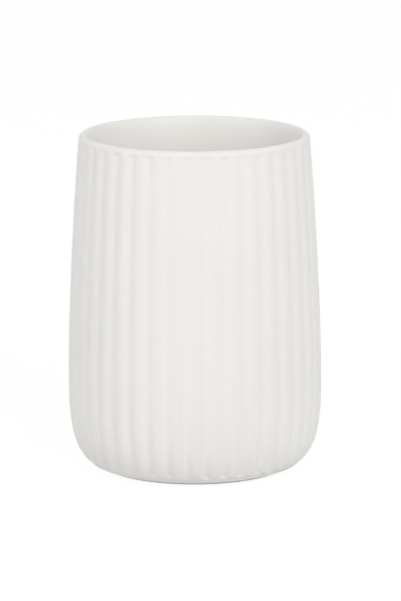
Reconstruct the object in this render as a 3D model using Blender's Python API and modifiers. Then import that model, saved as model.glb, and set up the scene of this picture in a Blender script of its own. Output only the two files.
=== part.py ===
# Reeded ceramic toothbrush tumbler on four stick-on foot pads.
# Metres, +Z up. The origin is the centre of the standing circle, on the surface it stands on.
# The front faces -Y, where the crest of the first reed lies.

import math

import bmesh
import bpy
from mathutils import Matrix

MM = 0.001

# Ceramic body, over the crests of the reeds. Heights are above the underside of the foot ring.
BELLY_DIAMETER = 80.0 * MM
BELLY_HEIGHT = 28.6 * MM
RIM_DIAMETER = 72.4 * MM
BODY_HEIGHT = 105.5 * MM
WALL_CURVE_SHARE = 1.58  # exponent of the taper from belly to rim

# Rounded lower edge: a quarter of a superellipse from the belly in to the foot
UNDERCURVE_INSET = 14.4 * MM
UNDERCURVE_SHARE = 3.0  # exponent, where 2 would be a plain ellipse

# Lip: a quarter round outside, a narrow flat, and a longer elliptical roll down into the cup
LIP_THICKNESS = 3.6 * MM
LIP_RADIUS = 1.5 * MM
LIP_ROLL_WIDTH = 1.9 * MM
LIP_ROLL_DEPTH = 4.5 * MM

# Reeds
REED_COUNT = 39
REED_DEPTH = 0.45 * MM
REED_DEPTH_AT_FOOT = 0.62 * MM
REED_DEEPENING_HEIGHT = 27.0 * MM  # below this the grooves deepen towards the foot
GROOVE_NARROWING_SHARE = 1.1  # over 1, a groove is narrower than the reed beside it
GROOVE_TOP_RUNOUT = 1.8 * MM  # below the round of the lip
GROOVE_END_HEIGHT = 2.4 * MM
GROOVE_END_RUNOUT = 1.7 * MM
PLAIN_BAND_INSET = 0.35 * MM  # the reeds stand this far proud of the band below them

# Foot ring
FOOT_RING_SETBACK = 2.6 * MM  # in from the lower edge of the body
FOOT_RING_WIDTH = 3.0 * MM
FOOT_RING_HEIGHT = 1.3 * MM
FOOT_RING_EDGE_RADIUS = 0.5 * MM

# Inside of the cup
WALL_THICKNESS = 4.4 * MM  # at the belly, over the crest of a reed
FLOOR_THICKNESS = 5.4 * MM  # above the flat inside the foot ring
INNER_CORNER_INSET = 12.0 * MM

# Non-slip pads
PAD_COUNT = 4
PAD_DIAMETER = 10.0 * MM
PAD_RING_CLEARANCE = 1.5 * MM  # between a pad and the foot ring around it
PAD_EDGE_RADIUS = 0.4 * MM
PAD_STAND_PROUD = 0.6 * MM  # below the underside of the foot ring
ADHESIVE_GAP = 0.3 * MM

# Colours and finish
GLAZE_COLOUR = (0.84, 0.83, 0.81)
GLAZE_ROUGHNESS = 0.5
PAD_COLOUR = (0.80, 0.80, 0.79)
PAD_ROUGHNESS = 0.6

# Fineness of the mesh
POINTS_PER_REED = 5
CAVITY_SEGMENTS = 60
PAD_SEGMENTS = 32
CUT_OVERRUN = 2.0 * MM
MOUTH_FLARE = math.radians(12.0)  # slope of the cut where the lip's roll meets its flat
MERGE_DISTANCE = 0.01 * MM

# Places that follow from the sizes above
FOOT_UNDERSIDE = PAD_STAND_PROUD
FOOT_FLAT = FOOT_UNDERSIDE + FOOT_RING_HEIGHT
PAD_THICKNESS = FOOT_FLAT - ADHESIVE_GAP
FLOOR_Z = FOOT_FLAT + FLOOR_THICKNESS
BELLY_Z = FOOT_UNDERSIDE + BELLY_HEIGHT
RIM_Z = FOOT_UNDERSIDE + BODY_HEIGHT
LIP_START = RIM_Z - LIP_RADIUS
LIP_ROLL_END = RIM_Z - LIP_ROLL_DEPTH
MOUTH_START = math.atan(math.tan(MOUTH_FLARE) * LIP_ROLL_WIDTH / LIP_ROLL_DEPTH)  # angle of the roll there
DEEPER_BELOW = FOOT_UNDERSIDE + REED_DEEPENING_HEIGHT
GROOVE_END = FOOT_UNDERSIDE + GROOVE_END_HEIGHT


def clear_scene():
    for obj in list(bpy.data.objects):
        bpy.data.objects.remove(obj, do_unlink=True)


def make_collection(name):
    collection = bpy.data.collections.new(name)
    bpy.context.scene.collection.children.link(collection)
    return collection


def make_material(name, colour, roughness):
    material = bpy.data.materials.new(name)
    material.use_nodes = True
    shader = material.node_tree.nodes["Principled BSDF"]
    shader.inputs["Base Color"].default_value = (*colour, 1.0)
    shader.inputs["Roughness"].default_value = roughness
    shader.inputs["Metallic"].default_value = 0.0
    material.diffuse_color = (*colour, 1.0)
    return material


def turned_solid(name, profile, steps, collection, closed=False):
    """Turn (radius, height) points about Z, starting at the front. Open ends get flat caps."""
    mesh = bpy.data.meshes.new(name)
    points = [(0.0, -radius, height) for radius, height in profile]
    edges = [(i, i + 1) for i in range(len(points) - 1)]
    if closed:
        edges.append((len(points) - 1, 0))
    mesh.from_pydata(points, edges, [])
    obj = bpy.data.objects.new(name, mesh)
    collection.objects.link(obj)

    screw = obj.modifiers.new("turn", "SCREW")
    screw.angle = math.tau
    screw.steps = steps
    screw.render_steps = steps
    screw.use_merge_vertices = True
    screw.merge_threshold = MERGE_DISTANCE
    depsgraph = bpy.context.evaluated_depsgraph_get()
    obj.data = bpy.data.meshes.new_from_object(obj.evaluated_get(depsgraph))
    obj.modifiers.clear()

    bm = bmesh.new()
    bm.from_mesh(obj.data)
    bmesh.ops.remove_doubles(bm, verts=bm.verts, dist=MERGE_DISTANCE)
    bmesh.ops.holes_fill(bm, edges=[edge for edge in bm.edges if edge.is_boundary])
    bmesh.ops.recalc_face_normals(bm, faces=bm.faces)
    bm.to_mesh(obj.data)
    bm.free()
    return obj


def combine(obj, tool, operation):
    """Join obj with tool, or cut it with tool, which stays in the scene as a guide."""
    boolean = obj.modifiers.new(operation.lower(), "BOOLEAN")
    boolean.operation = operation
    boolean.solver = "EXACT"
    boolean.object = tool
    tool.hide_render = True
    tool.display_type = "WIRE"


def shade_round(obj, sharp_angle):
    obj.data.shade_smooth()
    obj.data.set_sharp_from_angle(angle=sharp_angle)


def arc(centre, radius, start, end, steps):
    """Points of a round from one angle to another, both ends included."""
    angles = [start + (end - start) * i / steps for i in range(steps + 1)]
    return [(centre[0] + radius * math.cos(a), centre[1] + radius * math.sin(a)) for a in angles]


def evenly(low, high, steps):
    """Even heights from low to high, both ends included."""
    return [low + (high - low) * i / steps for i in range(steps + 1)]


def closing_in(low, high, steps):
    """Heights from low to high that lie closer together near low, both ends included."""
    turns = [math.pi / 2 * i / steps for i in range(steps + 1)]
    return [low + (high - low) * (1.0 - math.cos(turn)) for turn in turns]


def smooth_step(value, low, high):
    """0 below low, 1 above high, with a soft run between them."""
    t = min(max((value - low) / (high - low), 0.0), 1.0)
    return t * t * (3.0 - 2.0 * t)


def taper(height, belly_radius, rim_radius, top):
    """Radius of a wall that draws in from its widest place, at the belly, up to top."""
    along = (height - BELLY_Z) / (top - BELLY_Z)
    return belly_radius - (belly_radius - rim_radius) * along ** WALL_CURVE_SHARE


def undercurve(height, low, belly_radius, inset):
    """Radius of the rounded lower edge, which draws in by inset from the belly down to low."""
    drop = (BELLY_Z - height) / (BELLY_Z - low)
    inwards = max(1.0 - drop ** UNDERCURVE_SHARE, 0.0) ** (1.0 / UNDERCURVE_SHARE)
    return belly_radius - inset * (1.0 - inwards)


def envelope_radius(height):
    """Radius over the crests of the reeds."""
    if height >= BELLY_Z:
        return taper(height, BELLY_DIAMETER / 2, RIM_DIAMETER / 2, LIP_START)
    return undercurve(height, FOOT_UNDERSIDE, BELLY_DIAMETER / 2, UNDERCURVE_INSET)


def envelope_normal(height):
    """Outward direction of the envelope, as its radius and height parts."""
    rise = 2 * MERGE_DISTANCE
    run = envelope_radius(height + MERGE_DISTANCE) - envelope_radius(height - MERGE_DISTANCE)
    length = math.hypot(rise, run)
    return rise / length, -run / length


def groove_section(angle):
    """0 on the crest of a reed, 1 at the bottom of a groove. The angle runs from the front."""
    wave = (1.0 - math.cos(REED_COUNT * angle)) / 2
    return wave ** GROOVE_NARROWING_SHARE


def reed_inset(angle, height):
    """How far the finished wall lies inside the envelope."""
    below_lip = smooth_step(LIP_START - height, 0.0, GROOVE_TOP_RUNOUT)
    above_band = smooth_step(height, GROOVE_END, GROOVE_END + GROOVE_END_RUNOUT)
    deepening = 1.0 - smooth_step(height, GROOVE_END, DEEPER_BELOW)
    depth = REED_DEPTH + (REED_DEPTH_AT_FOOT - REED_DEPTH) * deepening
    groove = depth * groove_section(angle) * below_lip * above_band
    return groove + PLAIN_BAND_INSET * (1.0 - above_band)


def blank_profile():
    """Outer side of the body before it is reeded, from the lip's flat to the flat of the foot."""
    lip = arc((RIM_DIAMETER / 2 - LIP_RADIUS, LIP_START), LIP_RADIUS, math.pi / 2, 0.0, 3)
    reeds_full = GROOVE_END + GROOVE_END_RUNOUT
    reeds_fade = LIP_START - GROOVE_TOP_RUNOUT
    heights = [FOOT_FLAT]
    heights += evenly(GROOVE_END, reeds_full, 3)
    heights += closing_in(reeds_full, BELLY_Z, 5)[1:]
    heights += evenly(BELLY_Z, reeds_fade, 4)[1:]
    heights += evenly(reeds_fade, LIP_START, 3)[1:-1]
    return lip + [(envelope_radius(height), height) for height in reversed(heights)]


def carve_reeds(body):
    """Sink the grooves and the plain band into the turned wall, along the wall's own normal."""
    for vertex in body.data.vertices:
        x, y, height = vertex.co
        if height > LIP_START:
            continue
        angle = math.atan2(x, -y)
        inset = reed_inset(angle, height)
        out, up = envelope_normal(height)
        vertex.co.x -= inset * out * math.sin(angle)
        vertex.co.y += inset * out * math.cos(angle)
        if height > FOOT_FLAT + MERGE_DISTANCE:
            vertex.co.z -= inset * up


def foot_ring_profile():
    """Section of the foot ring, which reaches up into the body to join it."""
    outer = envelope_radius(FOOT_FLAT) - FOOT_RING_SETBACK
    inner = outer - FOOT_RING_WIDTH
    edge = FOOT_RING_EDGE_RADIUS
    top = FOOT_FLAT + CUT_OVERRUN
    low = FOOT_UNDERSIDE + edge
    points = [(inner, top), (outer, top)]
    points += arc((outer - edge, low), edge, 0.0, -math.pi / 2, 2)
    points += arc((inner + edge, low), edge, -math.pi / 2, -math.pi, 2)
    return points


def cavity_profile():
    """Inside of the cup, from above the rim down to the edge of the floor."""
    inner_radius = RIM_DIAMETER / 2 - LIP_THICKNESS
    turned = arc((0.0, 0.0), 1.0, math.pi / 2 + MOUTH_START, math.pi, 4)
    roll = [
        (inner_radius + LIP_ROLL_WIDTH * (1.0 + across), LIP_ROLL_END + LIP_ROLL_DEPTH * up)
        for across, up in turned
    ]
    reach = (CUT_OVERRUN * math.cos(MOUTH_FLARE), CUT_OVERRUN * math.sin(MOUTH_FLARE))
    mouth = (roll[0][0] + reach[0], roll[0][1] + reach[1])

    belly_radius = BELLY_DIAMETER / 2 - WALL_THICKNESS
    wall = [
        (taper(height, belly_radius, inner_radius, LIP_ROLL_END), height)
        for height in reversed(evenly(BELLY_Z, LIP_ROLL_END, 5)[1:-1])
    ]
    corner = [
        (undercurve(height, FLOOR_Z, belly_radius, INNER_CORNER_INSET), height)
        for height in reversed(closing_in(FLOOR_Z, BELLY_Z, 7))
    ]
    return [mouth] + roll + wall + corner


def make_body(parts, cutters):
    body = turned_solid("tumbler_body", blank_profile(), REED_COUNT * POINTS_PER_REED, parts)
    carve_reeds(body)
    ring = turned_solid("foot_ring_blank", foot_ring_profile(), CAVITY_SEGMENTS, cutters, closed=True)
    cavity = turned_solid("cavity_cutter", cavity_profile(), CAVITY_SEGMENTS, cutters)
    combine(body, ring, "UNION")
    combine(body, cavity, "DIFFERENCE")
    body.data.materials.append(make_material("matt_white_glaze", GLAZE_COLOUR, GLAZE_ROUGHNESS))
    shade_round(body, math.radians(50.0))


def make_pad_mesh():
    """A flat round pad with softened edges, its underside at height zero."""
    bm = bmesh.new()
    bmesh.ops.create_cone(
        bm,
        cap_ends=True,
        segments=PAD_SEGMENTS,
        radius1=PAD_DIAMETER / 2,
        radius2=PAD_DIAMETER / 2,
        depth=PAD_THICKNESS,
        matrix=Matrix.Translation((0.0, 0.0, PAD_THICKNESS / 2)),
    )
    square = math.radians(80.0)
    rims = [edge for edge in bm.edges if edge.calc_face_angle() > square]
    bmesh.ops.bevel(bm, geom=rims, offset=PAD_EDGE_RADIUS, segments=2, affect="EDGES", profile=0.5)
    mesh = bpy.data.meshes.new("base_pad")
    bm.to_mesh(mesh)
    bm.free()
    mesh.materials.append(make_material("non_slip_pad", PAD_COLOUR, PAD_ROUGHNESS))
    return mesh


def make_pads(parts):
    mesh = make_pad_mesh()
    ring_inside = envelope_radius(FOOT_FLAT) - FOOT_RING_SETBACK - FOOT_RING_WIDTH
    circle_radius = ring_inside - PAD_RING_CLEARANCE - PAD_DIAMETER / 2
    for i in range(PAD_COUNT):
        angle = math.tau * (i + 0.5) / PAD_COUNT
        pad = bpy.data.objects.new(f"base_pad_{i + 1}", mesh)
        parts.objects.link(pad)
        pad.location = (circle_radius * math.cos(angle), circle_radius * math.sin(angle), 0.0)
    shade_round(pad, math.radians(40.0))


def main():
    clear_scene()
    parts = make_collection("toothbrush_tumbler")
    cutters = make_collection("cutters")
    make_body(parts, cutters)
    make_pads(parts)


main()
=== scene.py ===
# Reeded ceramic toothbrush tumbler: finished surfaces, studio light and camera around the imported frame.
# Metres, +Z up. The front of the tumbler faces -Y.

import math

import bpy
import numpy as np
from mathutils import Matrix, Vector


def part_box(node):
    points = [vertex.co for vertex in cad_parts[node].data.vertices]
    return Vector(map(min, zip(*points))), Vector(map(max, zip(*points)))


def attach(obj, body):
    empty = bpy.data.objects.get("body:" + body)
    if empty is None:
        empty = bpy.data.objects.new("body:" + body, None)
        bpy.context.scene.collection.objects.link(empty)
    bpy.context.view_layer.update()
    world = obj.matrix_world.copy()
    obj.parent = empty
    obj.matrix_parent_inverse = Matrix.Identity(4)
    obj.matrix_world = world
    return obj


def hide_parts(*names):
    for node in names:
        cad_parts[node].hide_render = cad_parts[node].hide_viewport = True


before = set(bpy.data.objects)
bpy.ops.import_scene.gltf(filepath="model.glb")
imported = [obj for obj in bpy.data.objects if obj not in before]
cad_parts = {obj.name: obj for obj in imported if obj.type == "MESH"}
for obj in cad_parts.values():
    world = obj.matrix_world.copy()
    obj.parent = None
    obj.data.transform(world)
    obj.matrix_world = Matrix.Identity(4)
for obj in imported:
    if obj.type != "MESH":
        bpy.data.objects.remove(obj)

MM = 0.001
QUARTER_TURN = math.pi / 2
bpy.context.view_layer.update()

# Places read from the frame. The clearance keeps the body inside the solids' box.
BODY_LOW, BODY_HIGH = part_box("tumbler_body")
FOOT_UNDERSIDE = BODY_LOW.z
RIM_Z = BODY_HIGH.z
BOX_CLEARANCE = 0.03 * MM
BELLY_RADIUS = -BODY_LOW.y - BOX_CLEARANCE
PAD_NAMES = sorted(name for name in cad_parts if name.startswith("base_pad_"))

# Outside of the ceramic body, over the crests of the reeds
BELLY_Z = FOOT_UNDERSIDE + 28.6 * MM
RIM_RADIUS = 36.2 * MM
WALL_CURVE = 1.58
TAPER_TOP = RIM_Z - 1.5 * MM
UNDERCURVE_INSET = 14.4 * MM
UNDERCURVE_POWER = 3.0
NORMAL_STEP = 0.01 * MM

# Lip: a round outside, and a longer, softer roll inside
LIP_RADIUS = 1.7 * MM
LIP_INNER_WIDTH = 2.2 * MM
LIP_INNER_DEPTH = 9.0 * MM

# Reeds. Near the foot the grooves are deeper and narrower, and a plain band is left below them.
REED_COUNT = 39
REED_DEPTH = 0.49 * MM
REED_DEPTH_AT_FOOT = 1.20 * MM
DEEPER_BELOW = FOOT_UNDERSIDE + 34.0 * MM
GROOVE_NARROWING = 1.35
GROOVE_NARROWING_AT_FOOT = 1.8
GROOVE_TOP = RIM_Z - 0.7 * MM
GROOVE_TOP_RUNOUT = 2.2 * MM
GROOVE_END = FOOT_UNDERSIDE + 1.9 * MM
GROOVE_END_RUNOUT = 1.5 * MM
PLAIN_BAND_INSET = 0.22 * MM

# Foot
FOOT_FLAT = FOOT_UNDERSIDE + 1.3 * MM
FOOT_RING_SETBACK = 2.6 * MM
FOOT_RING_WIDTH = 3.0 * MM
FOOT_EDGE_RADIUS = 0.5 * MM
LOWER_EDGE_RADIUS = 0.4 * MM

# Inside of the cup
WALL_THICKNESS = 4.4 * MM
FLOOR_Z = FOOT_FLAT + 5.4 * MM
INNER_CORNER_INSET = 12.0 * MM

# Fineness of the body's mesh: columns round it, and rings along each stretch of its profile.
# The rings of the two flats are given as shares of their radius.
COLUMNS_PER_REED = 12
COLUMNS = REED_COUNT * COLUMNS_PER_REED
COLUMN_ANGLES = np.arange(COLUMNS) * math.tau / COLUMNS
LIP_RINGS = 17
LIP_ROLL_RINGS = 18
GROOVE_TOP_RINGS = 11
TAPER_RINGS = 39
UNDERCURVE_RINGS = 29
GROOVE_END_RINGS = 13
PLAIN_BAND_RINGS = 4
FOOT_ARC_STEPS = 4
UNDERSIDE_RINGS = (0.8, 0.5, 0.2)
INNER_WALL_RINGS = 17
INNER_CORNER_RINGS = 23
CUP_FLOOR_RINGS = (0.8, 0.55, 0.3, 0.1)

# Adhesive film between each pad and the body. Its edge waves a little. The waves are turned by the shift,
# in radians, for each millimetre that the pad lies to the right.
ADHESIVE_CLEARANCE = 0.02 * MM
ADHESIVE_SETBACK = 0.15 * MM
ADHESIVE_UNEVENNESS = 0.02
ADHESIVE_WAVES = 5
ADHESIVE_WAVE_SHIFT = 40
ADHESIVE_COLUMNS = 60
ADHESIVE_EDGE_RINGS = 7
ADHESIVE_FLAT_RING = 0.5

# Materials. A scale is in repeats per metre, a span is the pair of values between which an effect sets in,
# and a pair of shares or roughnesses is what it gives at the two ends of its span.
FINE_DETAIL = 3.0
GRAIN_DETAIL = 4.0

# Glaze: tone
GLAZE_THIN = (0.924, 0.908, 0.874)
GLAZE_EVEN = (0.933, 0.918, 0.886)
MOTTLE_SCALE = 38.0
MOTTLE_SPAN = (0.35, 0.65)
FINE_MOTTLE_SCALE = 420.0
FINE_MOTTLE_SPAN = (0.42, 0.72)
FINE_MOTTLE_SHARES = (0.0, 0.5)

# Glaze: a lighter tone in the grooves, a painted highlight there, fully so low down and not at all near the
# rim
GROOVE_PAINTED_HIGHLIGHT = (0.944, 0.931, 0.902)
GROOVE_HIGHLIGHT_SPAN = (0.35, 1.0)
GROOVE_HIGHLIGHT_HEIGHTS = (FOOT_UNDERSIDE + 35.0 * MM, RIM_Z - 5.0 * MM)

# Glaze: specks, in a few of the cells they are scattered over
SPECK = (0.80, 0.765, 0.71)
SPECK_SCALE = 240.0
SPECK_RADIUS_SPAN = (0.028, 0.052)
SPECK_CHANCE_SPAN = (0.80, 0.82)
SPECK_PIT_DEPTH = 0.03 * MM

# Glaze: roughness and relief
GLAZE_ROUGHNESS_SCALE = 110.0
GLAZE_ROUGHNESS_SPAN = (0.3, 0.7)
GLAZE_ROUGHNESS = (0.45, 0.55)
WAVINESS_SCALE, WAVINESS_RISE = 85.0, 0.10 * MM
ORANGE_PEEL_SCALE, ORANGE_PEEL_RISE = 620.0, 0.022 * MM
TOOTH_SCALE, TOOTH_RISE = 1900.0, 0.006 * MM

# Bare clay where the glaze is wiped off the standing face, up to a wavering line
CLAY_DARK = (0.79, 0.75, 0.68)
CLAY_PALE = (0.86, 0.83, 0.77)
CLAY_SCALE = 1100.0
CLAY_SPAN = (0.35, 0.65)
CLAY_RISE = 0.06 * MM
CLAY_ADDED_ROUGHNESS = 0.35
WIPED_LINE_SCALE = 260.0
WIPED_LINE_WAVER = 0.35 * MM
WIPED_LINE_SPAN = (FOOT_UNDERSIDE + 0.45 * MM, FOOT_UNDERSIDE + 0.60 * MM)

# Foam of the pads, with painted shade in the hollows of its cells
FOAM_HOLLOW_SHADE = (0.70, 0.70, 0.685)
FOAM_WALL = (0.83, 0.83, 0.815)
FOAM_WORN = (0.76, 0.755, 0.735)
FOAM_CELL_SCALE = 2600.0
FOAM_CELL_SPAN = (0.25, 0.75)
FOAM_CELL_RISE = 0.04 * MM
FOAM_WEAR_SCALE = 300.0
FOAM_WEAR_SPAN = (0.45, 0.70)
FOAM_WEAR_SHARES = (0.0, 0.5)
FOAM_ROUGHNESS = (0.72, 0.88)
FOAM_FORM_SCALE, FOAM_FORM_RISE = 350.0, 0.05 * MM

# Adhesive of the film
ADHESIVE = (0.84, 0.83, 0.79)
BUBBLE = (0.90, 0.89, 0.87)
BUBBLE_SCALE = 1400.0
BUBBLE_SPAN = (0.16, 0.24)
BUBBLE_RISE = 0.02 * MM
ADHESIVE_ROUGHNESS_SCALE = 500.0
ADHESIVE_ROUGHNESS_SPAN = (0.3, 0.7)
ADHESIVE_ROUGHNESS = (0.30, 0.42)

# Camera, fitted to the object's outline in the picture
CAMERA_DISTANCE = 1.25
CAMERA_ELEVATION = math.radians(11.80)
CAMERA_AZIMUTH = math.radians(-0.8)
CAMERA_ROLL = math.radians(-0.177)
CAMERA_LENS = 237.7
CAMERA_SENSOR = 36.0
CAMERA_CLIP_END = 20.0
TARGET_RIGHT = 1.80 * MM
TARGET_HEIGHT = FOOT_UNDERSIDE + 52.08 * MM

# Studio light: azimuth and elevation of each square lamp in degrees, and its strength in watts
LAMPS = {
    "far_back_left": (-120.0, 30.0, 1.9),
    "back_left": (-90.0, 30.0, 1.65),
    "low_left": (-80.0, 5.0, 2.25),
    "left": (-60.0, 30.0, 4.3),
    "high_left": (-60.0, 60.0, 2.2),
    "mid_left": (-40.0, 30.0, 2.8),
    "front_left": (-20.0, 30.0, 3.0),
    "front_right": (20.0, 30.0, 7.85),
    "right": (40.0, 30.0, 8.05),
    "back_right": (90.0, 30.0, 4.1),
    "far_back_right": (120.0, 30.0, 1.75),
    "back": (180.0, 50.0, 4.0),
}
LAMP_WIDTH = 0.6
LAMP_DISTANCE = 2.0
FRONT_LIGHT = (1.0, 1.0, 1.0)
SIDE_LIGHT = (0.975, 0.985, 1.0)
SIDE_LIGHT_BEYOND = 50.0
WORLD_STRENGTH = 0.19

# Floor: its own tone for light, and the white that the camera sees over it. It lies a hair below the pads.
FLOOR_TONE = 0.82
FLOOR_ROUGHNESS = 0.9
FLOOR_WHITE_SHARE = 0.87
FLOOR_GLOW = 1.07
FLOOR_REACH = 3.0
FLOOR_CLEARANCE = 0.01 * MM
WHITE = (1.0, 1.0, 1.0, 1.0)


def smooth_step(value, low, high):
    """0 below low, 1 above high, with a soft run between them."""
    t = np.clip((np.asarray(value) - low) / (high - low), 0.0, 1.0)
    return t * t * (3.0 - 2.0 * t)


def after(start, end, count):
    """Evenly spaced values up to end, without start."""
    return np.linspace(start, end, count + 1)[1:]


def taper(height, belly_radius, rim_radius, top):
    """Radius of a wall that draws in from the belly up to top."""
    along = np.clip((height - BELLY_Z) / (top - BELLY_Z), 0.0, None)
    return belly_radius - (belly_radius - rim_radius) * along ** WALL_CURVE


def undercurve(height, low, belly_radius, inset):
    """Radius of a rounded lower edge, which draws in by inset from the belly down to low."""
    drop = np.clip((BELLY_Z - height) / (BELLY_Z - low), 0.0, 1.0)
    inwards = (1.0 - drop ** UNDERCURVE_POWER) ** (1.0 / UNDERCURVE_POWER)
    return belly_radius - inset * (1.0 - inwards)


def envelope_radius(height):
    """Radius over the crests of the reeds."""
    height = np.asarray(height)
    wall = taper(height, BELLY_RADIUS, RIM_RADIUS, TAPER_TOP)
    lower = undercurve(height, FOOT_UNDERSIDE, BELLY_RADIUS, UNDERCURVE_INSET)
    return np.where(height >= BELLY_Z, wall, lower)


def envelope_normal(height):
    """Outward direction of the envelope, as its radius and height parts."""
    run = envelope_radius(height + NORMAL_STEP) - envelope_radius(height - NORMAL_STEP)
    length = np.hypot(2 * NORMAL_STEP, run)
    return 2 * NORMAL_STEP / length, -run / length


def arc(centre, radius, start, end):
    """Points of a small round from one angle to another, both ends included."""
    angles = np.linspace(start, end, FOOT_ARC_STEPS + 1)
    return [(centre[0] + radius * math.cos(a), centre[1] + radius * math.sin(a)) for a in angles]


def groove_section(angle, narrowing):
    """0 on the crest of a reed, 1 at the bottom of a groove. The angle runs from the front."""
    return ((1.0 - np.cos(REED_COUNT * angle)) / 2) ** narrowing


def lip_start():
    """Where the round of the lip leaves the outer wall: radius, height and lean of the wall."""
    out, up = envelope_normal(RIM_Z - LIP_RADIUS)
    lean = math.atan2(float(up), float(out))
    height = RIM_Z - LIP_RADIUS + LIP_RADIUS * math.sin(lean)
    return float(envelope_radius(height)), height, lean


def lip_peak():
    """Radius of the ring at which the lip is highest."""
    radius, _, lean = lip_start()
    return radius - LIP_RADIUS * math.cos(lean)


def wall_heights():
    """Heights down the outer wall, closer together where the grooves begin and end."""
    top_zone = GROOVE_TOP - GROOVE_TOP_RUNOUT
    end_zone = GROOVE_END + GROOVE_END_RUNOUT
    turn = after(0.0, QUARTER_TURN, UNDERCURVE_RINGS)
    zones = [
        after(lip_start()[1], top_zone, GROOVE_TOP_RINGS),
        after(top_zone, BELLY_Z, TAPER_RINGS),
        BELLY_Z - (BELLY_Z - end_zone) * np.sin(turn),
        after(end_zone, GROOVE_END, GROOVE_END_RINGS),
        after(GROOVE_END, FOOT_FLAT + LOWER_EDGE_RADIUS, PLAIN_BAND_RINGS),
    ]
    return np.concatenate(zones)


def outer_line():
    """Outer side over the crests, from the top of the lip down: radius, height and outward direction."""
    turn = np.linspace(QUARTER_TURN, lip_start()[2], LIP_RINGS)
    round_radius = lip_peak() + LIP_RADIUS * np.cos(turn)
    round_height = RIM_Z - LIP_RADIUS * (1.0 - np.sin(turn))
    wall_height = wall_heights()
    wall_out, wall_up = envelope_normal(wall_height)
    radius = np.append(round_radius, envelope_radius(wall_height))
    height = np.append(round_height, wall_height)
    return radius, height, np.append(np.cos(turn), wall_out), np.append(np.sin(turn), wall_up)


def inner_roll():
    """The lip's inner side, from just inside its top down into the cup."""
    turn = after(0.0, QUARTER_TURN, LIP_ROLL_RINGS)
    radius = lip_peak() - LIP_INNER_WIDTH * np.sin(turn)
    height = RIM_Z - LIP_INNER_DEPTH * (1.0 - np.cos(turn))
    return list(zip(radius.tolist(), height.tolist()))


def inner_profile(start):
    """Inside of the cup, from the end of the lip down to the middle of the floor."""
    belly = BELLY_RADIUS - WALL_THICKNESS
    wall = after(start[1], BELLY_Z, INNER_WALL_RINGS)
    points = [(float(taper(h, belly, start[0], start[1])), h) for h in wall]
    corner = BELLY_Z - (BELLY_Z - FLOOR_Z) * np.sin(after(0.0, QUARTER_TURN, INNER_CORNER_RINGS))
    points += [(float(undercurve(h, FLOOR_Z, belly, INNER_CORNER_INSET)), h) for h in corner]
    floor_edge = points[-1][0]
    points += [(floor_edge * share, FLOOR_Z) for share in CUP_FLOOR_RINGS]
    return points


def foot_profile(start):
    """Underside, from the lower edge of the reeded wall in over the foot ring to the middle."""
    outer = float(envelope_radius(FOOT_FLAT)) - FOOT_RING_SETBACK
    inner = outer - FOOT_RING_WIDTH
    edge = FOOT_EDGE_RADIUS
    lower_edge = (start[0] - LOWER_EDGE_RADIUS, FOOT_FLAT + LOWER_EDGE_RADIUS)
    points = arc(lower_edge, LOWER_EDGE_RADIUS, 0.0, -QUARTER_TURN)[1:]
    points += arc((outer + edge, FOOT_FLAT - edge), edge, QUARTER_TURN, math.pi)
    points += arc((outer - edge, FOOT_UNDERSIDE + edge), edge, 0.0, -QUARTER_TURN)
    points += [((outer + inner) / 2, FOOT_UNDERSIDE)]
    points += arc((inner + edge, FOOT_UNDERSIDE + edge), edge, -QUARTER_TURN, -math.pi)
    points += arc((inner - edge, FOOT_FLAT - edge), edge, 0.0, QUARTER_TURN)
    points += [(inner * share, FOOT_FLAT) for share in UNDERSIDE_RINGS]
    return points


def reeded_rows():
    """Rings of the outer side from the top of the lip down, and how deep each point lies in its groove."""
    radius, height, out, up = (line[:, None] for line in outer_line())
    below_lip = smooth_step(GROOVE_TOP - height, 0.0, GROOVE_TOP_RUNOUT)
    above_band = smooth_step(height, GROOVE_END, GROOVE_END + GROOVE_END_RUNOUT)
    above_foot = smooth_step(height, GROOVE_END, DEEPER_BELOW)
    narrowing = GROOVE_NARROWING_AT_FOOT + (GROOVE_NARROWING - GROOVE_NARROWING_AT_FOOT) * above_foot
    groove = groove_section(COLUMN_ANGLES[None, :], narrowing) * below_lip * above_band
    depth = REED_DEPTH_AT_FOOT + (REED_DEPTH - REED_DEPTH_AT_FOOT) * above_foot
    inset = depth * groove + PLAIN_BAND_INSET * (1.0 - above_band)
    return radius - inset * out, height - inset * up, groove


def turned_rows(profile):
    """Rings of a turned stretch, as radius, height and an empty groove depth for each column."""
    points = np.array(profile)
    radius = np.repeat(points[:, :1], COLUMNS, axis=1)
    height = np.repeat(points[:, 1:], COLUMNS, axis=1)
    return radius, height, np.zeros_like(radius)


def add_object(name, points, faces, material):
    """New object in the scene, made of points and faces."""
    mesh = bpy.data.meshes.new(name)
    mesh.from_pydata(points, [], faces)
    mesh.materials.append(material)
    added = bpy.data.objects.new(name, mesh)
    bpy.context.scene.collection.objects.link(added)
    return added


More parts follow.
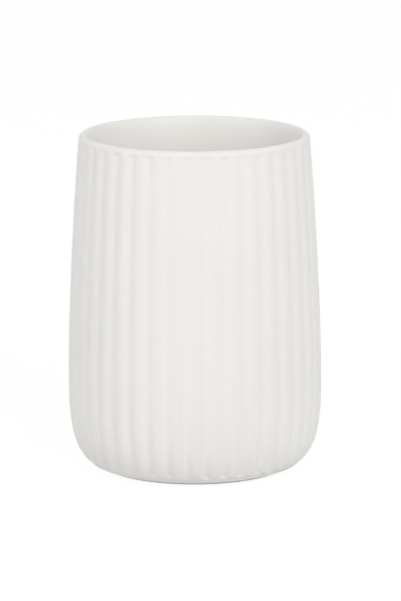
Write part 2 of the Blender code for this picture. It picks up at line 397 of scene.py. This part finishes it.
def make_body(glaze):
    """One closed skin: floor, inner wall, lip, reeded wall, foot ring and underside."""
    roll = inner_roll()
    inside = roll + inner_profile(roll[-1])
    outside = reeded_rows()
    lower_edge = (float(outside[0][-1].mean()), float(outside[1][-1].mean()))
    stretches = [turned_rows(inside[::-1]), outside, turned_rows(foot_profile(lower_edge))]
    radius, height, groove = (np.concatenate([s[i] for s in stretches]) for i in range(3))
    rows = len(radius)

    across, towards_back = radius * np.sin(COLUMN_ANGLES), -radius * np.cos(COLUMN_ANGLES)
    points = np.stack([across, towards_back, height], axis=-1).reshape(-1, 3)
    middles = [(0.0, 0.0, FLOOR_Z), (0.0, 0.0, FOOT_FLAT)]
    points = np.concatenate([points, middles])

    column = np.arange(COLUMNS)
    following = (column + 1) % COLUMNS
    faces = []
    for row in range(rows - 1):
        upper = row * COLUMNS
        lower = upper + COLUMNS
        ring = np.stack([upper + column, lower + column, lower + following, upper + following], axis=-1)
        faces += ring.tolist()
    floor_middle = rows * COLUMNS
    foot_middle = floor_middle + 1
    last = (rows - 1) * COLUMNS
    faces += np.stack([np.full(COLUMNS, floor_middle), column, following], axis=-1).tolist()
    faces += np.stack([np.full(COLUMNS, foot_middle), last + following, last + column], axis=-1).tolist()

    body = add_object("reeded_ceramic_body", points.tolist(), faces, glaze)
    groove_attribute = body.data.attributes.new("groove_depth", "FLOAT", "POINT")
    groove_attribute.data.foreach_set("value", np.append(groove.reshape(-1), [0.0, 0.0]))
    body.data.shade_smooth()
    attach(body, "root")
    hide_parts("tumbler_body")


def make_node_material(name):
    """New material, its node tree and its shader."""
    material = bpy.data.materials.new(name)
    material.use_nodes = True
    tree = material.node_tree
    return material, tree, tree.nodes["Principled BSDF"]


def noise(tree, per_metre, detail=2.0):
    """Even noise about 0.5, in the object's own coordinates."""
    place = tree.nodes.new("ShaderNodeTexCoord")
    node = tree.nodes.new("ShaderNodeTexNoise")
    node.inputs["Scale"].default_value = per_metre
    node.inputs["Detail"].default_value = detail
    tree.links.new(place.outputs["Object"], node.inputs["Vector"])
    return node.outputs["Fac"]


def cells(tree, per_metre):
    """Scattered cells: distance from the nearest centre in cell widths, and a random number for each."""
    place = tree.nodes.new("ShaderNodeTexCoord")
    node = tree.nodes.new("ShaderNodeTexVoronoi")
    node.inputs["Scale"].default_value = per_metre
    tree.links.new(place.outputs["Object"], node.inputs["Vector"])
    parts = tree.nodes.new("ShaderNodeSeparateColor")
    tree.links.new(node.outputs["Color"], parts.inputs["Color"])
    return node.outputs["Distance"], parts.outputs["Red"]


def height_above_ground(tree):
    """Height of the surface in metres."""
    place = tree.nodes.new("ShaderNodeTexCoord")
    parts = tree.nodes.new("ShaderNodeSeparateXYZ")
    tree.links.new(place.outputs["Object"], parts.inputs["Vector"])
    return parts.outputs["Z"]


def calculate(tree, operation, first, second):
    """One sum or product; each side is a number or a node's output."""
    node = tree.nodes.new("ShaderNodeMath")
    node.operation = operation
    for socket, value in zip(node.inputs, (first, second)):
        if isinstance(value, float):
            socket.default_value = value
        else:
            tree.links.new(value, socket)
    return node.outputs["Value"]


def soft_step(tree, value, span, results=(0.0, 1.0)):
    """Goes softly from one result to the other while the value crosses the span."""
    node = tree.nodes.new("ShaderNodeMapRange")
    node.interpolation_type = "SMOOTHSTEP"
    node.inputs["From Min"].default_value, node.inputs["From Max"].default_value = span
    node.inputs["To Min"].default_value, node.inputs["To Max"].default_value = results
    tree.links.new(value, node.inputs["Value"])
    return node.outputs["Result"]


def soft_fall(tree, value, span):
    """Falls softly from 1 to 0 while the value crosses the span."""
    return soft_step(tree, value, span, (1.0, 0.0))


def blend_colours(tree, share, first, second):
    """Colour between two; each is a colour or a node's output."""
    node = tree.nodes.new("ShaderNodeMix")
    node.data_type = "RGBA"
    tree.links.new(share, node.inputs["Factor"])
    for name, colour in (("A_Color", first), ("B_Color", second)):
        socket = next(s for s in node.inputs if s.identifier == name)
        if isinstance(colour, tuple):
            socket.default_value = (*colour, 1.0)
        else:
            tree.links.new(colour, socket)
    return next(s for s in node.outputs if s.identifier == "Result_Color")


def raised(tree, value, rise, under=None):
    """Surface raised by the value times rise, on top of another bump."""
    node = tree.nodes.new("ShaderNodeBump")
    node.inputs["Distance"].default_value = rise
    tree.links.new(value, node.inputs["Height"])
    if under is not None:
        tree.links.new(under, node.inputs["Normal"])
    return node.outputs["Normal"]


def make_glaze():
    """Satin white glaze: uneven in thickness, with a painted highlight in the grooves, wiped off the face
    that stands.
    """
    material, tree, shader = make_node_material("satin_white_glaze")

    mottle = soft_step(tree, noise(tree, MOTTLE_SCALE, FINE_DETAIL), MOTTLE_SPAN)
    body_tone = blend_colours(tree, mottle, GLAZE_THIN, GLAZE_EVEN)
    fine_mottle = soft_step(tree, noise(tree, FINE_MOTTLE_SCALE), FINE_MOTTLE_SPAN, FINE_MOTTLE_SHARES)
    mottled = blend_colours(tree, fine_mottle, body_tone, GLAZE_EVEN)

    # Painted highlight: a lighter tone in the grooves, strongest low down and gone near the rim
    groove_attribute = tree.nodes.new("ShaderNodeAttribute")
    groove_attribute.attribute_name = "groove_depth"
    low_down = soft_fall(tree, height_above_ground(tree), GROOVE_HIGHLIGHT_HEIGHTS)
    in_groove = soft_step(tree, groove_attribute.outputs["Fac"], GROOVE_HIGHLIGHT_SPAN)
    glazed = blend_colours(tree, calculate(tree, "MULTIPLY", in_groove, low_down), mottled, GROOVE_PAINTED_HIGHLIGHT)

    centre_distance, chance = cells(tree, SPECK_SCALE)
    in_speck = soft_fall(tree, centre_distance, SPECK_RADIUS_SPAN)
    chosen = soft_step(tree, chance, SPECK_CHANCE_SPAN)
    specks = calculate(tree, "MULTIPLY", in_speck, chosen)
    speckled = blend_colours(tree, specks, glazed, SPECK)

    waver = calculate(tree, "MULTIPLY", noise(tree, WIPED_LINE_SCALE), WIPED_LINE_WAVER)
    level = calculate(tree, "ADD", height_above_ground(tree), waver)
    bare = soft_fall(tree, level, WIPED_LINE_SPAN)
    clay_grain = noise(tree, CLAY_SCALE, GRAIN_DETAIL)
    clay = blend_colours(tree, soft_step(tree, clay_grain, CLAY_SPAN), CLAY_DARK, CLAY_PALE)
    tree.links.new(blend_colours(tree, bare, speckled, clay), shader.inputs["Base Color"])

    rough_noise = noise(tree, GLAZE_ROUGHNESS_SCALE, FINE_DETAIL)
    glaze_roughness = soft_step(tree, rough_noise, GLAZE_ROUGHNESS_SPAN, GLAZE_ROUGHNESS)
    clay_roughness = calculate(tree, "MULTIPLY", bare, CLAY_ADDED_ROUGHNESS)
    tree.links.new(calculate(tree, "ADD", glaze_roughness, clay_roughness), shader.inputs["Roughness"])

    waviness = raised(tree, noise(tree, WAVINESS_SCALE), WAVINESS_RISE)
    orange_peel = raised(tree, noise(tree, ORANGE_PEEL_SCALE), ORANGE_PEEL_RISE, waviness)
    tooth = raised(tree, noise(tree, TOOTH_SCALE), TOOTH_RISE, orange_peel)
    pits = raised(tree, calculate(tree, "MULTIPLY", specks, -1.0), SPECK_PIT_DEPTH, tooth)
    grain = raised(tree, calculate(tree, "MULTIPLY", clay_grain, bare), CLAY_RISE, pits)
    tree.links.new(grain, shader.inputs["Normal"])
    return material


def make_pad_material():
    """Closed-cell foam: small cells with painted shade in their hollows, slightly uneven in tone, with a
    matt skin.
    """
    material, tree, shader = make_node_material("closed_cell_foam")
    centre_distance, chance = cells(tree, FOAM_CELL_SCALE)
    cell_wall = soft_step(tree, centre_distance, FOAM_CELL_SPAN)
    # Painted shade: the hollow of each cell is darker than its walls
    shaded_cells = blend_colours(tree, cell_wall, FOAM_HOLLOW_SHADE, FOAM_WALL)
    worn = soft_step(tree, noise(tree, FOAM_WEAR_SCALE), FOAM_WEAR_SPAN, FOAM_WEAR_SHARES)
    tree.links.new(blend_colours(tree, worn, shaded_cells, FOAM_WORN), shader.inputs["Base Color"])
    tree.links.new(soft_step(tree, chance, (0.0, 1.0), FOAM_ROUGHNESS), shader.inputs["Roughness"])
    soft_form = raised(tree, noise(tree, FOAM_FORM_SCALE), FOAM_FORM_RISE)
    tree.links.new(raised(tree, cell_wall, FOAM_CELL_RISE, soft_form), shader.inputs["Normal"])
    return material


def dress_pads(material):
    """Gives the pads, which stay as they are in the frame, their material."""
    for name in PAD_NAMES:
        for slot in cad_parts[name].material_slots:
            slot.material = material


def make_adhesive_material():
    """Milky film with small trapped bubbles."""
    material, tree, shader = make_node_material("acrylic_adhesive")
    centre_distance, _ = cells(tree, BUBBLE_SCALE)
    bubble = soft_fall(tree, centre_distance, BUBBLE_SPAN)
    tree.links.new(blend_colours(tree, bubble, ADHESIVE, BUBBLE), shader.inputs["Base Color"])
    rough_noise = noise(tree, ADHESIVE_ROUGHNESS_SCALE)
    roughness = soft_step(tree, rough_noise, ADHESIVE_ROUGHNESS_SPAN, ADHESIVE_ROUGHNESS)
    tree.links.new(roughness, shader.inputs["Roughness"])
    tree.links.new(raised(tree, bubble, BUBBLE_RISE), shader.inputs["Normal"])
    return material


def make_adhesive_film(name, pad_name, material):
    """Thin film between a pad and the body above it, with an edge that is not quite even."""
    pad_low, pad_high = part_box(pad_name)
    middle = (pad_low + pad_high) / 2
    low = pad_high.z + ADHESIVE_CLEARANCE
    high = FOOT_FLAT - ADHESIVE_CLEARANCE
    reach = (pad_high.x - pad_low.x) / 2 - ADHESIVE_SETBACK
    count = ADHESIVE_COLUMNS
    angles = np.arange(count) * math.tau / count
    waves = np.sin(ADHESIVE_WAVES * angles + ADHESIVE_WAVE_SHIFT * middle.x / MM)
    edge = reach * (1.0 - ADHESIVE_UNEVENNESS * (1.0 + waves) / 2)

    rounding, centre = (high - low) / 2, (low + high) / 2
    turn = np.linspace(-QUARTER_TURN, QUARTER_TURN, ADHESIVE_EDGE_RINGS)
    rings = [(edge - rounding + rounding * math.cos(t), centre + rounding * math.sin(t)) for t in turn]
    rings = [(edge * ADHESIVE_FLAT_RING, low), *rings, (edge * ADHESIVE_FLAT_RING, high)]
    points = []
    for ring, z in rings:
        points += [(middle.x + r * math.cos(a), middle.y + r * math.sin(a), z) for r, a in zip(ring, angles)]
    points += [(middle.x, middle.y, low), (middle.x, middle.y, high)]

    faces = []
    for lower in range(0, (len(rings) - 1) * count, count):
        upper = lower + count
        for i in range(count):
            j = (i + 1) % count
            faces.append((lower + i, lower + j, upper + j, upper + i))
    low_middle = len(rings) * count
    high_middle = low_middle + 1
    last = low_middle - count
    faces += [(low_middle, (i + 1) % count, i) for i in range(count)]
    faces += [(high_middle, last + i, last + (i + 1) % count) for i in range(count)]

    film = add_object(name, points, faces, material)
    film.data.shade_smooth()
    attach(film, "root")


def white_to_camera(nodes, link):
    """1 for rays from the camera and for mirrored or refracted ones, 0 for the rest."""
    seen = nodes.new("ShaderNodeLightPath")
    total = seen.outputs["Is Camera Ray"]
    for kind in ("Is Glossy Ray", "Is Transmission Ray"):
        larger = nodes.new("ShaderNodeMath")
        larger.operation = "MAXIMUM"
        link(total, larger.inputs[0])
        link(seen.outputs[kind], larger.inputs[1])
        total = larger.outputs["Value"]
    return total


def make_floor():
    """Plain floor that the camera sees as white, with the tumbler's shadow on it."""
    material, tree, shader = make_node_material("studio_floor")
    nodes, link = tree.nodes, tree.links.new
    shader.inputs["Base Color"].default_value = (FLOOR_TONE, FLOOR_TONE, FLOOR_TONE, 1.0)
    shader.inputs["Roughness"].default_value = FLOOR_ROUGHNESS
    shader.inputs["Specular IOR Level"].default_value = 0.0
    glow = nodes.new("ShaderNodeEmission")
    glow.inputs["Color"].default_value = WHITE
    glow.inputs["Strength"].default_value = FLOOR_GLOW
    blend = nodes.new("ShaderNodeMixShader")
    share = calculate(tree, "MULTIPLY", white_to_camera(nodes, link), FLOOR_WHITE_SHARE)
    link(share, blend.inputs["Fac"])
    link(shader.outputs["BSDF"], blend.inputs[1])
    link(glow.outputs["Emission"], blend.inputs[2])
    link(blend.outputs["Shader"], nodes["Material Output"].inputs["Surface"])

    signs = ((-1, -1), (1, -1), (1, 1), (-1, 1))
    corners = [(x * FLOOR_REACH, y * FLOOR_REACH, -FLOOR_CLEARANCE) for x, y in signs]
    floor = add_object("studio_floor", corners, [(0, 1, 2, 3)], material)


def make_world():
    """Even light from all round, and white behind the floor."""
    world = bpy.data.worlds.new("studio")
    bpy.context.scene.world = world
    world.use_nodes = True
    nodes, link = world.node_tree.nodes, world.node_tree.links.new
    light = nodes["Background"]
    light.inputs["Color"].default_value = WHITE
    light.inputs["Strength"].default_value = WORLD_STRENGTH
    backdrop = nodes.new("ShaderNodeBackground")
    backdrop.inputs["Color"].default_value = WHITE
    blend = nodes.new("ShaderNodeMixShader")
    link(white_to_camera(nodes, link), blend.inputs["Fac"])
    link(light.outputs["Background"], blend.inputs[1])
    link(backdrop.outputs["Background"], blend.inputs[2])
    link(blend.outputs["Shader"], nodes["World Output"].inputs["Surface"])


def direction(azimuth, elevation):
    """Unit vector towards a viewer at this azimuth, 0 in front and positive to the right."""
    return Vector((
        math.sin(azimuth) * math.cos(elevation),
        -math.cos(azimuth) * math.cos(elevation),
        math.sin(elevation),
    ))


def make_lamps():
    """Square lamps on a sphere round the tumbler's middle, the side ones a little cooler."""
    aim = Vector((0.0, 0.0, (FOOT_UNDERSIDE + RIM_Z) / 2))
    for name, (azimuth, elevation, watts) in LAMPS.items():
        towards = direction(math.radians(azimuth), math.radians(elevation))
        lamp = bpy.data.lights.new(name, "AREA")
        lamp.shape = "SQUARE"
        lamp.size = LAMP_WIDTH
        lamp.energy = watts
        lamp.color = SIDE_LIGHT if abs(azimuth) > SIDE_LIGHT_BEYOND else FRONT_LIGHT
        obj = bpy.data.objects.new(name, lamp)
        obj.location = aim + towards * LAMP_DISTANCE
        obj.rotation_euler = towards.to_track_quat("Z", "Y").to_euler()
        bpy.context.scene.collection.objects.link(obj)


def make_camera():
    """Camera at the photograph's viewing angle."""
    right = Vector((math.cos(CAMERA_AZIMUTH), math.sin(CAMERA_AZIMUTH), 0.0))
    target = right * TARGET_RIGHT + Vector((0.0, 0.0, TARGET_HEIGHT))
    towards = direction(CAMERA_AZIMUTH, CAMERA_ELEVATION)
    camera = bpy.data.cameras.new("camera")
    camera.lens = CAMERA_LENS
    camera.sensor_width = CAMERA_SENSOR
    camera.sensor_fit = "AUTO"
    camera.clip_end = CAMERA_CLIP_END
    obj = bpy.data.objects.new("camera", camera)
    turn = towards.to_track_quat("Z", "Y").to_matrix().to_4x4()
    roll = Matrix.Rotation(CAMERA_ROLL, 4, "Z")
    obj.matrix_world = Matrix.Translation(target + towards * CAMERA_DISTANCE) @ turn @ roll
    bpy.context.scene.collection.objects.link(obj)
    bpy.context.scene.camera = obj


bpy.context.scene.view_settings.view_transform = "Standard"
make_body(make_glaze())
dress_pads(make_pad_material())
adhesive = make_adhesive_material()
for number, pad_name in enumerate(PAD_NAMES, 1):
    make_adhesive_film(f"adhesive_film_{number}", pad_name, adhesive)
make_floor()
make_world()
make_lamps()
make_camera()
